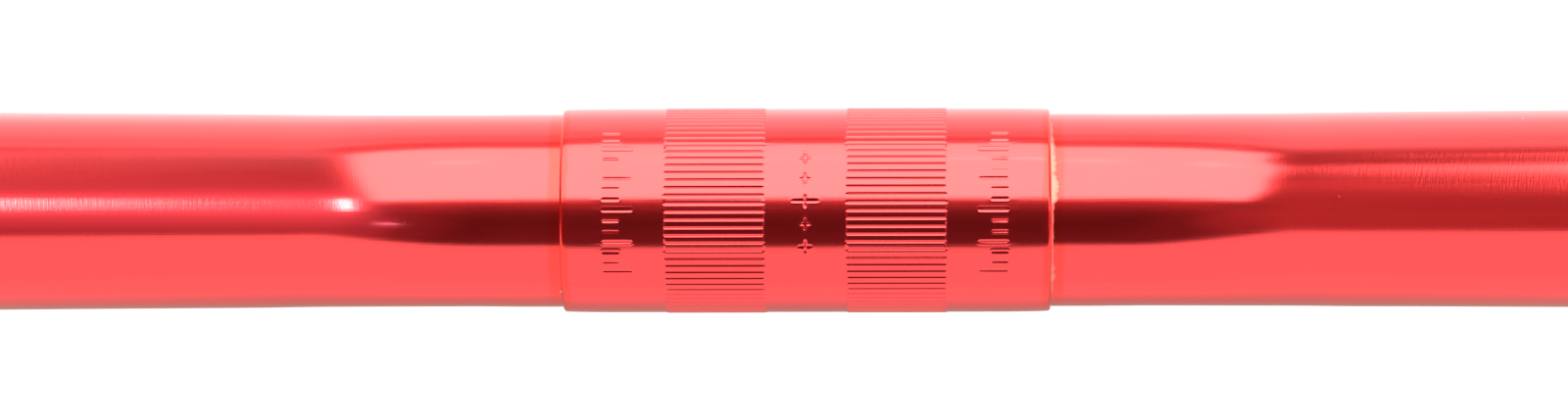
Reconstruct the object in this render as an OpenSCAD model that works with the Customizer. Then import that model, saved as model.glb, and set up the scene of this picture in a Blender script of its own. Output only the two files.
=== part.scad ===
/* [Overall] */
// Width over the two open ends
bar_width = 640; // [560:10:720]
// Height of the open ends above the clamp's axis
bar_rise = 50; // [46:1:62]
// Angle by which the grips point back, towards the rider
backsweep = 9; // [0:1:14]
// Angle by which the grips point up
upsweep = 4; // [0:1:6]

/* [Tube] */
// Outer diameter of the tube, all the way but for the grips
tube_d = 24.0; // [23:0.1:25]
// Wall of the tube at full diameter
tube_wall = 2.4; // [1.6:0.1:3.0]
// Length of the straight piece in the middle
middle_straight = 76; // [70:1:84]
// Radius of every bend, at the tube's axis
bend_r = 56; // [48:1:64]
// How much slimmer the tube is left by each bend, on the radius
bend_neck = 0.08; // [0.05:0.01:0.12]
// Slope of the tube where it rises from the middle
slope_angle = 28; // [25:1:32]

/* [Grips] */
// Outer diameter of the swaged ends that the grips and levers go on
grip_d = 22.2; // [21.8:0.1:22.6]
// Wall of the tube at the grips
grip_wall = 2.0; // [1.4:0.1:2.6]
// Length of the cone from the tube's diameter down to the grip's
swage_len = 40; // [25:1:60]
// Chamfer on both edges of an open end
end_chamfer = 0.4; // [0.2:0.1:0.8]

/* [Clamp sleeve] */
// Wall of the sleeve where it is plain
sleeve_wall = 0.68; // [0.5:0.02:1.2]
// Length of the sleeve
sleeve_len = 60.6; // [56:0.2:66]
// Radius on the sleeve's outer edges
sleeve_edge_r = 0.4; // [0.1:0.05:0.4]
// Bonding gap between the tube and the sleeve, on the radius
bond_gap = 0.02; // [0.01:0.01:0.05]

/* [Knurling] */
// Width of each knurled band
knurl_w = 12.2; // [8:0.2:14]
// Plain width left between the two bands
knurl_spacing = 10.2; // [8:0.2:14]
// Grooves around each band
knurl_count = 80; // [60:2:96]
// Width of a groove at its mouth
groove_w = 0.46; // [0.3:0.02:0.5]
// Depth of a groove below its crests
groove_depth = 0.17; // [0.08:0.01:0.25]
// How far the crests are pushed up above the plain sleeve
crest_h = 0.08; // [0.02:0.01:0.09]

/* [Bond line] */
// Width of the squeezed-out bead on the tube
bead_w = 0.9; // [0.5:0.1:1.5]
// Height of the bead against the sleeve's end face
bead_h = 0.26; // [0.1:0.02:0.28]
// Angle around the tube at which the bead starts: 0 is the top, and minus is the rider's side
bead_from = -60; // [-80:5:-30]
// Angle around the tube at which the bead ends
bead_to = 66; // [30:2:80]
// Diameter of the single blob at the other end of the sleeve
blob_d = 0.6; // [0.4:0.1:0.9]
// Angle around the tube at which the blob sits
blob_at = -56; // [-80:2:80]

/* [Hidden] */
$fn = 96;

// How far a cutter reaches past the face it cuts
past = 1;

// How far a bend runs on inside the straights at its ends
bend_lap = 1;

// Radii of the tube, its bore and its open ends
tube_r = tube_d / 2;
bore_r = tube_r - tube_wall;
grip_r = grip_d / 2;
grip_bore_r = grip_r - grip_wall;
half_middle = middle_straight / 2;

// Directions of the slope and of the grip on the right-hand side
slope_dir = [cos(slope_angle), 0, sin(slope_angle)];
grip_dir = [cos(backsweep) * cos(upsweep), -sin(backsweep) * cos(upsweep), sin(upsweep)];

// The outer bend: its angle, the length of its tangents, and how far its plane is rolled
outer_bend = acos(slope_dir * grip_dir);
tangent = bend_r * tan(outer_bend / 2);
slope_up = [-sin(slope_angle), 0, cos(slope_angle)];
roll = atan2(-grip_dir.y, grip_dir * slope_up);

// What is left of the width and the rise for the two straights, solved for their lengths
left_x = bar_width / 2 - half_middle - bend_r * sin(slope_angle) - tangent * (slope_dir.x + grip_dir.x);
left_z = bar_rise - bend_r * (1 - cos(slope_angle)) - tangent * (slope_dir.z + grip_dir.z);
spread = slope_dir.x * grip_dir.z - grip_dir.x * slope_dir.z;
slope_len = (left_x * grip_dir.z - grip_dir.x * left_z) / spread;
outer_len = (slope_dir.x * left_z - left_x * slope_dir.z) / spread;
grip_len = outer_len - swage_len;

// The clamp sleeve's radii, and where its knurling ends
sleeve_bore_r = tube_r + bond_gap;
clamp_r = sleeve_bore_r + sleeve_wall;
crest_r = clamp_r + crest_h;
knurl_end = knurl_spacing / 2 + knurl_w;

// A straight run along +X that goes from one radius to another
module run(len, r1, r2) {
    rotate([0, 90, 0]) cylinder(h = len, r1 = r1, r2 = r2);
}

// A bend that starts along +X and turns up, towards +Z, with its two laps
module bend(angle, r) {
    lap_angle = bend_lap / bend_r * 180 / PI;
    translate([0, 0, bend_r]) rotate([90, 0, 0]) rotate([0, 0, -90 - lap_angle])
        rotate_extrude(angle = angle + 2 * lap_angle)
            translate([bend_r, 0]) circle(r - bend_neck);
}

// Moves its children to where a bend ends
module after_bend(angle) {
    translate([bend_r * sin(angle), 0, bend_r * (1 - cos(angle))]) rotate([0, -angle, 0]) children();
}

// The bar's whole route at one radius, down to another where the swages end.
// The two outermost pieces are the caller's, and start there.
module route(r, r_grip) {
    translate([-half_middle, 0, 0]) run(middle_straight, r, r);
    for (side = [0, 1]) mirror([side, 0, 0]) translate([half_middle, 0, 0]) {
        bend(slope_angle, r);
        after_bend(slope_angle) {
            run(slope_len, r, r);
            translate([slope_len, 0, 0]) rotate([roll, 0, 0]) {
                bend(outer_bend, r);
                after_bend(outer_bend) {
                    run(swage_len, r, r_grip);
                    translate([swage_len, 0, 0]) children();
                }
            }
        }
    }
}

// The outside of a grip, with its end chamfered
module grip_outside() {
    run(grip_len - end_chamfer, grip_r, grip_r);
    translate([grip_len - end_chamfer, 0, 0]) run(end_chamfer, grip_r, grip_r - end_chamfer);
}

// The bore of a grip, opened out by a chamfer that runs on past the end
module grip_inside() {
    run(grip_len, grip_bore_r, grip_bore_r);
    translate([grip_len - end_chamfer, 0, 0])
        run(end_chamfer + past, grip_bore_r, grip_bore_r + end_chamfer + past);
}

// One tube, bent twice on each side and open at both ends
module handlebar_tube() {
    color([0.85, 0.10, 0.12]) difference() {
        route(tube_r, grip_r) grip_outside();
        route(bore_r, grip_bore_r) grip_inside();
    }
}

// One tooth's share of a knurled ring, from one groove's middle to the next
function tooth(i) = let (
    pitch = 360 / knurl_count,
    mouth = asin(groove_w / 2 / crest_r),
    root = mouth / 3,
    root_r = crest_r - groove_depth
) [
    for (p = [[root, root_r], [mouth, crest_r], [pitch - mouth, crest_r], [pitch - root, root_r]])
        p[1] * [cos(i * pitch + p[0]), sin(i * pitch + p[0])]
];

// A knurled band that starts at x = 0, with its grooves along the bar
module knurl_band() {
    rotate([90, 0, 90]) linear_extrude(height = knurl_w)
        polygon([for (i = [0:knurl_count - 1]) each tooth(i)]);
}

// The plain end of the sleeve, from the outer edge of a band to its rounded end face
module sleeve_end() {
    plain_len = sleeve_len / 2 - knurl_end;
    translate([knurl_end, 0, 0]) rotate([0, 90, 0]) rotate_extrude() {
        square([clamp_r - sleeve_edge_r, plain_len]);
        square([clamp_r, plain_len - sleeve_edge_r]);
        translate([clamp_r - sleeve_edge_r, plain_len - sleeve_edge_r])
            circle(sleeve_edge_r, $fn = 32);
    }
}

// The sleeve that the stem clamps: plain in the middle and at its ends, knurled between
module clamp_sleeve() {
    color([0.80, 0.08, 0.10]) difference() {
        union() {
            translate([-knurl_spacing / 2, 0, 0]) run(knurl_spacing, clamp_r, clamp_r);
            for (side = [0, 1]) mirror([side, 0, 0]) {
                translate([knurl_spacing / 2, 0, 0]) knurl_band();
                sleeve_end();
            }
        }
        translate([-sleeve_len / 2 - past, 0, 0])
            run(sleeve_len + 2 * past, sleeve_bore_r, sleeve_bore_r);
    }
}

// The adhesive bead in the corner between the tube and the sleeve's right-hand end
module bead() {
    translate([sleeve_len / 2, 0, 0]) rotate([0, 90, 0]) rotate([0, 0, 180 - bead_to])
        rotate_extrude(angle = bead_to - bead_from)
            polygon([
                [tube_r, 0],
                [tube_r + bead_h, 0],
                [tube_r + bead_h / 3, bead_w / 2],
                [tube_r, bead_w]
            ]);
}

// One blob of the same adhesive in the corner at the sleeve's left-hand end
module blob() {
    rotate([-blob_at, 0, 0]) difference() {
        intersection() {
            translate([-sleeve_len / 2, 0, tube_r]) sphere(blob_d / 2, $fn = 32);
            translate([-sleeve_len / 2 - blob_d, -blob_d, tube_r - blob_d])
                cube([blob_d, 2 * blob_d, 2 * blob_d]);
        }
        translate([-sleeve_len / 2 - 2 * blob_d, 0, 0]) run(3 * blob_d, tube_r, tube_r);
    }
}

// What was squeezed out when the sleeve was bonded on
module bond_bead() {
    color([0.96, 0.86, 0.72]) {
        bead();
        blob();
    }
}

handlebar_tube();
clamp_sleeve();
bond_bead();
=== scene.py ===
"""Looks for a red anodised riser handlebar with a knurled clamp sleeve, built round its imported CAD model."""
import logging
import math
from dataclasses import dataclass
from enum import Enum
from typing import Optional, Sequence, Union

import bmesh
import bpy
import numpy as np
from mathutils import Matrix, Vector


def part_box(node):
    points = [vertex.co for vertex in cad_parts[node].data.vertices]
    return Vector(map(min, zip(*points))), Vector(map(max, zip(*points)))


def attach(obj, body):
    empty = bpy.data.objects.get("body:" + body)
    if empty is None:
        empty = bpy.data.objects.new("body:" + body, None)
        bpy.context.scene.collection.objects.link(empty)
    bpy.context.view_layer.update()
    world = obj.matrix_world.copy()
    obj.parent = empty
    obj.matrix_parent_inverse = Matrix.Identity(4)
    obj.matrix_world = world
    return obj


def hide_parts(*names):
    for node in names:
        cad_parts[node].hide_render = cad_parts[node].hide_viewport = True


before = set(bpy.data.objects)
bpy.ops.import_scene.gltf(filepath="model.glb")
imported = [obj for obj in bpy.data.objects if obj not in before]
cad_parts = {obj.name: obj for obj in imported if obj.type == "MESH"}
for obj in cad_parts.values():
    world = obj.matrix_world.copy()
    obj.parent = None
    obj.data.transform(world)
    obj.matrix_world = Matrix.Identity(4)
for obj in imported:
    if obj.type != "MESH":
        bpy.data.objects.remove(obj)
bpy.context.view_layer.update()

MM = 0.001
LOG = logging.getLogger("handlebar")

Feed = Union[bpy.types.NodeSocket, float, int, bool, Sequence[float], str]


class Slot(Enum):
    """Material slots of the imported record."""

    TUBE = "tube_red"
    SLEEVE = "sleeve_red"
    ADHESIVE = "adhesive"


class Node(Enum):
    """CAD nodes that the pieces stand for."""

    TUBE = "handlebar_tube"
    SLEEVE = "clamp_sleeve"
    BEAD = "bond_bead"


class NodeGraph:
    """Short calls for building one node tree, of shader or of geometry nodes."""

    def __init__(self, tree: bpy.types.NodeTree) -> None:
        """Keep the tree and empty it."""
        self.tree = tree
        self.tree.nodes.clear()

    def add(self, kind: str, feeds: Optional[dict[Union[str, int], Feed]] = None, **settings: object) -> bpy.types.Node:
        """Add one node.

        Args:
            kind: Blender's name for the node type.
            feeds: what goes into each input, by the input's name or number.
            settings: the node's own properties.

        Returns:
            The new node.
        """
        node = self.tree.nodes.new(kind)
        for name, value in settings.items():
            setattr(node, name, value)
        for key, value in (feeds or {}).items():
            self.feed(node.inputs[key], value)
        return node

    def feed(self, target: bpy.types.NodeSocket, value: Feed) -> None:
        """Link a socket into an input, or set the input's own value."""
        if isinstance(value, bpy.types.NodeSocket):
            self.tree.links.new(value, target)
        else:
            target.default_value = value

    def math(self, operation: str, a: Feed, b: Feed = 0.0, c: Feed = 0.0, clamp: bool = False) -> bpy.types.NodeSocket:
        """Return the result of one Math node."""
        node = self.add("ShaderNodeMath", {0: a, 1: b, 2: c}, operation=operation, use_clamp=clamp)
        return node.outputs[0]

    def vector(self, operation: str, a: Feed, b: Feed = (0.0, 0.0, 0.0)) -> bpy.types.NodeSocket:
        """Return the vector result of one Vector Math node."""
        return self.add("ShaderNodeVectorMath", {0: a, 1: b}, operation=operation).outputs["Vector"]

    def scale(self, a: Feed, by: Feed) -> bpy.types.NodeSocket:
        """Return a vector times a number."""
        node = self.add("ShaderNodeVectorMath", {0: a}, operation="SCALE")
        self.feed(node.inputs["Scale"], by)
        return node.outputs["Vector"]

    def length(self, a: Feed) -> bpy.types.NodeSocket:
        """Return a vector's length."""
        return self.add("ShaderNodeVectorMath", {0: a}, operation="LENGTH").outputs["Value"]

    def split(self, a: Feed) -> tuple[bpy.types.NodeSocket, bpy.types.NodeSocket, bpy.types.NodeSocket]:
        """Return a vector's X, Y and Z."""
        outputs = self.add("ShaderNodeSeparateXYZ", {0: a}).outputs
        return outputs[0], outputs[1], outputs[2]

    def join(self, x: Feed, y: Feed, z: Feed) -> bpy.types.NodeSocket:
        """Return a vector from its X, Y and Z."""
        return self.add("ShaderNodeCombineXYZ", {0: x, 1: y, 2: z}).outputs[0]

    def ramp(self, value: Feed, low: Feed, high: Feed, start: Feed = 0.0, end: Feed = 1.0,
             smooth: bool = True) -> bpy.types.NodeSocket:
        """Map a value that goes from low to high onto start to end, held at both ends.

        Args:
            value: what is mapped.
            low: the value that gives start.
            high: the value that gives end.
            start: the result at low.
            end: the result at high.
            smooth: ease in and out, or go straight.

        Returns:
            The mapped value.
        """
        kind = "SMOOTHSTEP" if smooth else "LINEAR"
        feeds = {0: value, 1: low, 2: high, 3: start, 4: end}
        return self.add("ShaderNodeMapRange", feeds, interpolation_type=kind).outputs[0]

    def mix(self, amount: Feed, a: Feed, b: Feed, blend: str = "MIX") -> bpy.types.NodeSocket:
        """Return a colour between a and b."""
        node = self.add("ShaderNodeMix", data_type="RGBA", blend_type=blend)
        self.feed(node.inputs[0], amount)
        self.feed(node.inputs[6], a)
        self.feed(node.inputs[7], b)
        return node.outputs[2]

    def noise(self, at: Feed, scale: Feed, detail: float = 2.0, roughness: float = 0.5) -> bpy.types.NodeSocket:
        """Return a noise value between 0 and 1 at a place."""
        feeds = {"Vector": at, "Scale": scale, "Detail": detail, "Roughness": roughness}
        return self.add("ShaderNodeTexNoise", feeds).outputs[0]

    def output(self, socket: bpy.types.NodeSocket) -> None:
        """End a material with its surface."""
        node = self.add("ShaderNodeOutputMaterial")
        self.tree.links.new(socket, node.inputs["Surface"])


def rgba(colour: Sequence[float]) -> tuple[float, float, float, float]:
    """Return a colour with full alpha."""
    return (colour[0], colour[1], colour[2], 1.0)


def new_material(name: str) -> tuple[bpy.types.Material, NodeGraph]:
    """Return an empty node material and its graph."""
    material = bpy.data.materials.new(name)
    material.use_nodes = True
    return material, NodeGraph(material.node_tree)


def new_object(name: str, data: bpy.types.ID) -> bpy.types.Object:
    """Link a new object, at the origin, for some data."""
    made = bpy.data.objects.new(name, data)
    bpy.context.scene.collection.objects.link(made)
    return made


# Finishes


@dataclass(frozen=True)
class AnodisedFinish:
    """Polished aluminium, dyed red and anodised, with fine drawing lines along the tube, and painted shade in the
    sleeve's groove bottoms.

    Lengths are in metres; the pattern's place is (along the bar, across, up) on the bar drawn out straight.
    """

    name: str
    drawn: bool
    colour: tuple[float, float, float] = (0.93, 0.078, 0.080)
    worn_colour: tuple[float, float, float] = (0.93, 0.050, 0.026)
    worn_share: float = 0.46
    inside_colour: tuple[float, float, float] = (0.55, 0.035, 0.040)
    speck_colour: tuple[float, float, float] = (0.95, 0.62, 0.50)
    roughness: float = 0.135
    line_width: float = 0.00016
    line_length: float = 0.022
    line_bump: float = 0.30
    hair_width: float = 0.00022
    hair_length: float = 0.0018
    hair_share: float = 0.8
    seam_from: float = 0.0294
    seam_to: float = 0.0318
    groove_from: float = 0.0051
    groove_to: float = 0.0174
    groove_crest: float = 0.01276
    # The next value darkens the groove bottoms of the knurled bands: painted shade.
    groove_shade_tone: float = 0.82
    bore_radius: float = 0.0105
    seed: float = 3.0

    def place(self, graph: NodeGraph) -> bpy.types.NodeSocket:
        """Return where a point lies on the bar drawn out straight."""
        if self.drawn:
            return graph.add("ShaderNodeAttribute", attribute_name="drawn").outputs["Vector"]
        return graph.add("ShaderNodeTexCoord").outputs["Object"]

    def lines(self, graph: NodeGraph, at: bpy.types.NodeSocket, along: float, around: float) -> bpy.types.NodeSocket:
        """Return noise drawn out along the bar or around it, 0 to 1.

        Args:
            graph: the material's graph.
            at: the place on the drawn-out bar.
            along: a line's size along the bar, in metres.
            around: its size around the bar, in metres.

        Returns:
            The noise value.
        """
        stretched = graph.vector("MULTIPLY", at, (1 / along, 1 / around, 1 / around))
        shifted = graph.vector("ADD", stretched, (self.seed, 2 * self.seed, 0.0))
        return graph.noise(shifted, 1.0, 3.0, 0.55)

    def build(self) -> bpy.types.Material:
        """Return the finish as a node material."""
        material, graph = new_material(self.name)
        at = self.place(graph)
        along, across, up = graph.split(at)
        radius = graph.length(graph.join(0.0, across, up))
        from_middle = graph.math("ABSOLUTE", along)
        fine = self.lines(graph, at, self.line_length, self.line_width)
        broad = self.lines(graph, at, self.line_length * 3, self.line_width * 6)
        hairs = self.lines(graph, at, self.hair_width, self.hair_length)
        cloud = graph.noise(at, 45.0, 3.0, 0.6)

        # Dye: faint streaks and clouds, and orange where it thinned beside the bonded seam; painted shade in the
        # sleeve's groove bottoms follows
        tone = graph.math("MULTIPLY_ADD", fine, 0.10, 0.93)
        tone = graph.math("MULTIPLY_ADD", cloud, 0.06, tone)
        base = graph.mix(1.0, rgba(self.colour), graph.join(tone, tone, tone), "MULTIPLY")
        wander = graph.math("MULTIPLY_ADD", graph.noise(at, 260.0, 2.0), 0.0007, -0.00035)
        edge = graph.math("ADD", from_middle, wander)
        rise = graph.ramp(edge, self.seam_from - 0.0002, self.seam_from + 0.0001)
        fall = graph.ramp(edge, self.seam_to - 0.0003, self.seam_to + 0.0003, 1.0, 0.0)
        worn = graph.math("MULTIPLY", graph.math("MULTIPLY", rise, fall), self.worn_share)
        base = graph.mix(worn, base, rgba(self.worn_colour))
        # Painted shade: the groove bottoms of the knurled bands are darkened, in place of the shade inside the grooves.
        if not self.drawn:
            band = graph.ramp(from_middle, self.groove_from - 0.0001, self.groove_from + 0.0001)
            past = graph.ramp(from_middle, self.groove_to - 0.0001, self.groove_to + 0.0001, 1.0, 0.0)
            groove_shade = graph.ramp(radius, self.groove_crest - 0.0001, self.groove_crest, 1.0, 0.0)
            groove_shade = graph.math("MULTIPLY", groove_shade, graph.math("MULTIPLY", band, past))
            tone = graph.ramp(groove_shade, 0.0, 1.0, 1.0, self.groove_shade_tone)
            base = graph.mix(1.0, base, graph.join(tone, tone, tone), "MULTIPLY")
        inside = graph.ramp(radius, self.bore_radius, self.bore_radius - 0.0003)
        base = graph.mix(inside, base, rgba(self.inside_colour))

        # Specks: a few pinholes and dust grains
        cells = graph.add("ShaderNodeTexVoronoi", {"Vector": at, "Scale": 330.0, "Randomness": 1.0})
        chosen = graph.math("GREATER_THAN", graph.split(cells.outputs["Color"])[0], 0.972)
        grain = graph.ramp(cells.outputs["Distance"], 0.030, 0.055, 1.0, 0.0)
        speck = graph.math("MULTIPLY", chosen, grain)
        base = graph.mix(graph.math("MULTIPLY", speck, 0.7), base, rgba(self.speck_colour))

        rough = graph.math("MULTIPLY_ADD", fine, 0.05, self.roughness - 0.025)
        rough = graph.math("MULTIPLY_ADD", broad, 0.03, graph.math("SUBTRACT", rough, 0.015))
        rough = graph.math("ADD", rough, graph.math("MULTIPLY", inside, 0.25))
        rough = graph.math("ADD", rough, graph.math("MULTIPLY", speck, 0.3), clamp=True)

        height = graph.math("ADD", graph.math("MULTIPLY", fine, 0.5), graph.math("MULTIPLY", broad, 0.5))
        height = graph.math("MULTIPLY_ADD", hairs, self.hair_share, height)
        bump = graph.add("ShaderNodeBump", {"Height": height})
        bump.inputs["Strength"].default_value = self.line_bump
        bump.inputs["Distance"].default_value = 0.00002

        surface = graph.add("ShaderNodeBsdfPrincipled", {"Base Color": base, "Roughness": rough})
        surface.inputs["Metallic"].default_value = 1.0
        graph.feed(surface.inputs["Normal"], bump.outputs[0])
        graph.output(surface.outputs[0])
        return material


@dataclass(frozen=True)
class AdhesiveFinish:
    """Cream adhesive that was squeezed out, set, and picked up a little of the red dye where it is thin."""

    name: str
    thick_colour: tuple[float, float, float] = (0.68, 0.39, 0.27)
    thin_colour: tuple[float, float, float] = (0.90, 0.14, 0.12)
    roughness: float = 0.42
    film_share: float = 0.6

    def build(self) -> bpy.types.Material:
        """Return the finish as a node material."""
        material, graph = new_material(self.name)
        at = graph.add("ShaderNodeTexCoord").outputs["Object"]
        cover = graph.add("ShaderNodeAttribute", attribute_name="cover").outputs["Fac"]
        grain = graph.noise(at, 2600.0, 3.0, 0.6)
        patch = graph.noise(at, 700.0, 2.0, 0.5)
        amount = graph.math("MULTIPLY_ADD", patch, 0.5, graph.math("SUBTRACT", cover, 0.25))
        thick = graph.ramp(amount, 0.34, 0.85)
        base = graph.mix(thick, rgba(self.thin_colour), rgba(self.thick_colour))
        tone = graph.math("MULTIPLY_ADD", grain, 0.22, 0.86)
        base = graph.mix(1.0, base, graph.join(tone, tone, tone), "MULTIPLY")
        bump = graph.add("ShaderNodeBump", {"Height": grain})
        bump.inputs["Strength"].default_value = 0.4
        bump.inputs["Distance"].default_value = 0.00006
        rough = graph.math("MULTIPLY_ADD", patch, 0.2, self.roughness - 0.1)
        surface = graph.add("ShaderNodeBsdfPrincipled", {"Base Color": base, "Roughness": rough})
        film = graph.math("MULTIPLY", graph.math("SUBTRACT", 1.0, thick), self.film_share)
        graph.feed(surface.inputs["Metallic"], film)
        surface.inputs["Subsurface Weight"].default_value = 0.15
        surface.inputs["Subsurface Scale"].default_value = 0.0004
        graph.feed(surface.inputs["Normal"], bump.outputs[0])
        graph.output(surface.outputs[0])
        return material


# Shapes


@dataclass
class BarRoute:
    """The bar's centreline: straight middle, rise, and grips swept back and up. Lengths in metres, angles in degrees."""

    bar_width: float = 640 * MM
    rise: float = 50 * MM
    backsweep: float = 9.0
    upsweep: float = 4.0
    middle: float = 76 * MM
    bend_radius: float = 56 * MM
    slope: float = 28.0
    step: float = 1 * MM
    ease: float = 7 * MM

    def __post_init__(self) -> None:
        """Solve the two straights from the width and the rise, as the CAD does."""
        slope, back, up = (math.radians(a) for a in (self.slope, self.backsweep, self.upsweep))
        self.slope_dir = Vector((math.cos(slope), 0, math.sin(slope)))
        self.grip_dir = Vector((math.cos(back) * math.cos(up), -math.sin(back) * math.cos(up), math.sin(up)))
        self.outer_angle = self.slope_dir.angle(self.grip_dir)
        tangent = self.bend_radius * math.tan(self.outer_angle / 2)
        both = tangent * (self.slope_dir + self.grip_dir)
        left_x = self.bar_width / 2 - self.middle / 2 - self.bend_radius * math.sin(slope) - both.x
        left_z = self.rise - self.bend_radius * (1 - math.cos(slope)) - both.z
        spread = self.slope_dir.x * self.grip_dir.z - self.grip_dir.x * self.slope_dir.z
        self.slope_len = (left_x * self.grip_dir.z - self.grip_dir.x * left_z) / spread
        self.outer_len = (self.slope_dir.x * left_z - left_x * self.slope_dir.z) / spread
        self.inner_arc = self.bend_radius * slope
        self.outer_arc = self.bend_radius * self.outer_angle
        self.bend_1 = self.middle / 2
        self.rise_start = self.bend_1 + self.inner_arc
        self.bend_2 = self.rise_start + self.slope_len
        self.swage_start = self.bend_2 + self.outer_arc
        self.half = self.swage_start + self.outer_len

    def point(self, along: float) -> Vector:
        """Return the centreline's point at a distance along it from the middle, on the right-hand side."""
        if along <= self.bend_1:
            return Vector((along, 0, 0))
        slope = math.radians(self.slope)
        if along <= self.rise_start:
            turned = (along - self.bend_1) / self.bend_radius
            return Vector((self.bend_1 + self.bend_radius * math.sin(turned), 0,
                           self.bend_radius * (1 - math.cos(turned))))
        foot = Vector((self.bend_1 + self.bend_radius * math.sin(slope), 0,
                       self.bend_radius * (1 - math.cos(slope))))
        if along <= self.bend_2:
            return foot + self.slope_dir * (along - self.rise_start)
        top = foot + self.slope_dir * self.slope_len
        inward = (self.grip_dir - self.slope_dir * self.grip_dir.dot(self.slope_dir)).normalized()
        turned = min(along - self.bend_2, self.outer_arc) / self.bend_radius
        end = top + self.slope_dir * (self.bend_radius * math.sin(turned))
        end += inward * (self.bend_radius * (1 - math.cos(turned)))
        return end + self.grip_dir * max(0.0, along - self.swage_start)

    def eased(self, along: float) -> Vector:
        """Return the centreline's point, averaged over the ease so that a bend's curvature starts gradually."""
        if along < self.bend_1 - self.ease or along > self.half - self.ease:
            return self.point(along)
        steps = [i / 8 for i in range(-8, 9)]
        shares = [1 + math.cos(math.pi * t) for t in steps]
        total = Vector((0, 0, 0))
        for t, share in zip(steps, shares):
            total += self.point(along + t * self.ease) * share
        return total / sum(shares)

    def curve(self) -> bpy.types.Object:
        """Return the whole centreline as a curve object, from the left end to the right."""
        count = round(self.half / self.step)
        half = [self.half * i / count for i in range(count + 1)]
        right = [self.eased(a) for a in half]
        left = [Vector((-p.x, p.y, p.z)) for p in right[:0:-1]]
        data = bpy.data.curves.new("centreline", "CURVE")
        data.dimensions = "3D"
        spline = data.splines.new("POLY")
        points = left + right
        spline.points.add(len(points) - 1)
        for slot, place in zip(spline.points, points):
            slot.co = (*place, 1.0)
        return new_object("centreline", data)


def spaced(start: float, end: float, step: float) -> list[float]:
    """Return evenly spaced values from start up to, but not with, end."""
    count = max(1, round(abs(end - start) / step))
    return [start + (end - start) * i / count for i in range(count)]


def profile_object(name: str, points: Sequence[tuple[float, float]]) -> bpy.types.Object:
    """Return a mesh object whose loose points hold (along, radius) of a closed profile."""
    data = bpy.data.meshes.new(name)
    data.from_pydata([(a, r, 0.0) for a, r in points], [], [])
    return new_object(name, data)


def grown(source: bpy.types.Object, tree: bpy.types.NodeTree, values: dict[str, object],
          name: str) -> bpy.types.Object:
    """Run a geometry tree on an object and keep the result as a plain mesh piece.

    Args:
        source: the object that the tree starts from, which is removed.
        tree: the geometry node tree.
        values: the tree's inputs by name.
        name: the new piece's name.

    Returns:
        The new piece, with no modifier.
    """
    modifier = source.modifiers.new("grow", "NODES")
    modifier.node_group = tree
    for item in tree.interface.items_tree:
        if item.item_type == "SOCKET" and item.in_out == "INPUT" and item.name in values:
            modifier[item.identifier] = values[item.name]
    source.update_tag()
    graph = bpy.context.evaluated_depsgraph_get()
    mesh = bpy.data.meshes.new_from_object(source.evaluated_get(graph), depsgraph=graph)
    mesh.name = name
    source.modifiers.remove(modifier)
    bpy.data.objects.remove(source)
    solid = bmesh.new()
    solid.from_mesh(mesh)
    open_edges = sum(1 for e in solid.edges if len(e.link_faces) != 2)
    if solid.calc_volume(signed=True) < 0:
        bmesh.ops.reverse_faces(solid, faces=solid.faces)
        solid.to_mesh(mesh)
    solid.free()
    LOG.info("%s: %d faces, %d open edges", name, len(mesh.polygons), open_edges)
    return new_object(name, mesh)


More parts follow.
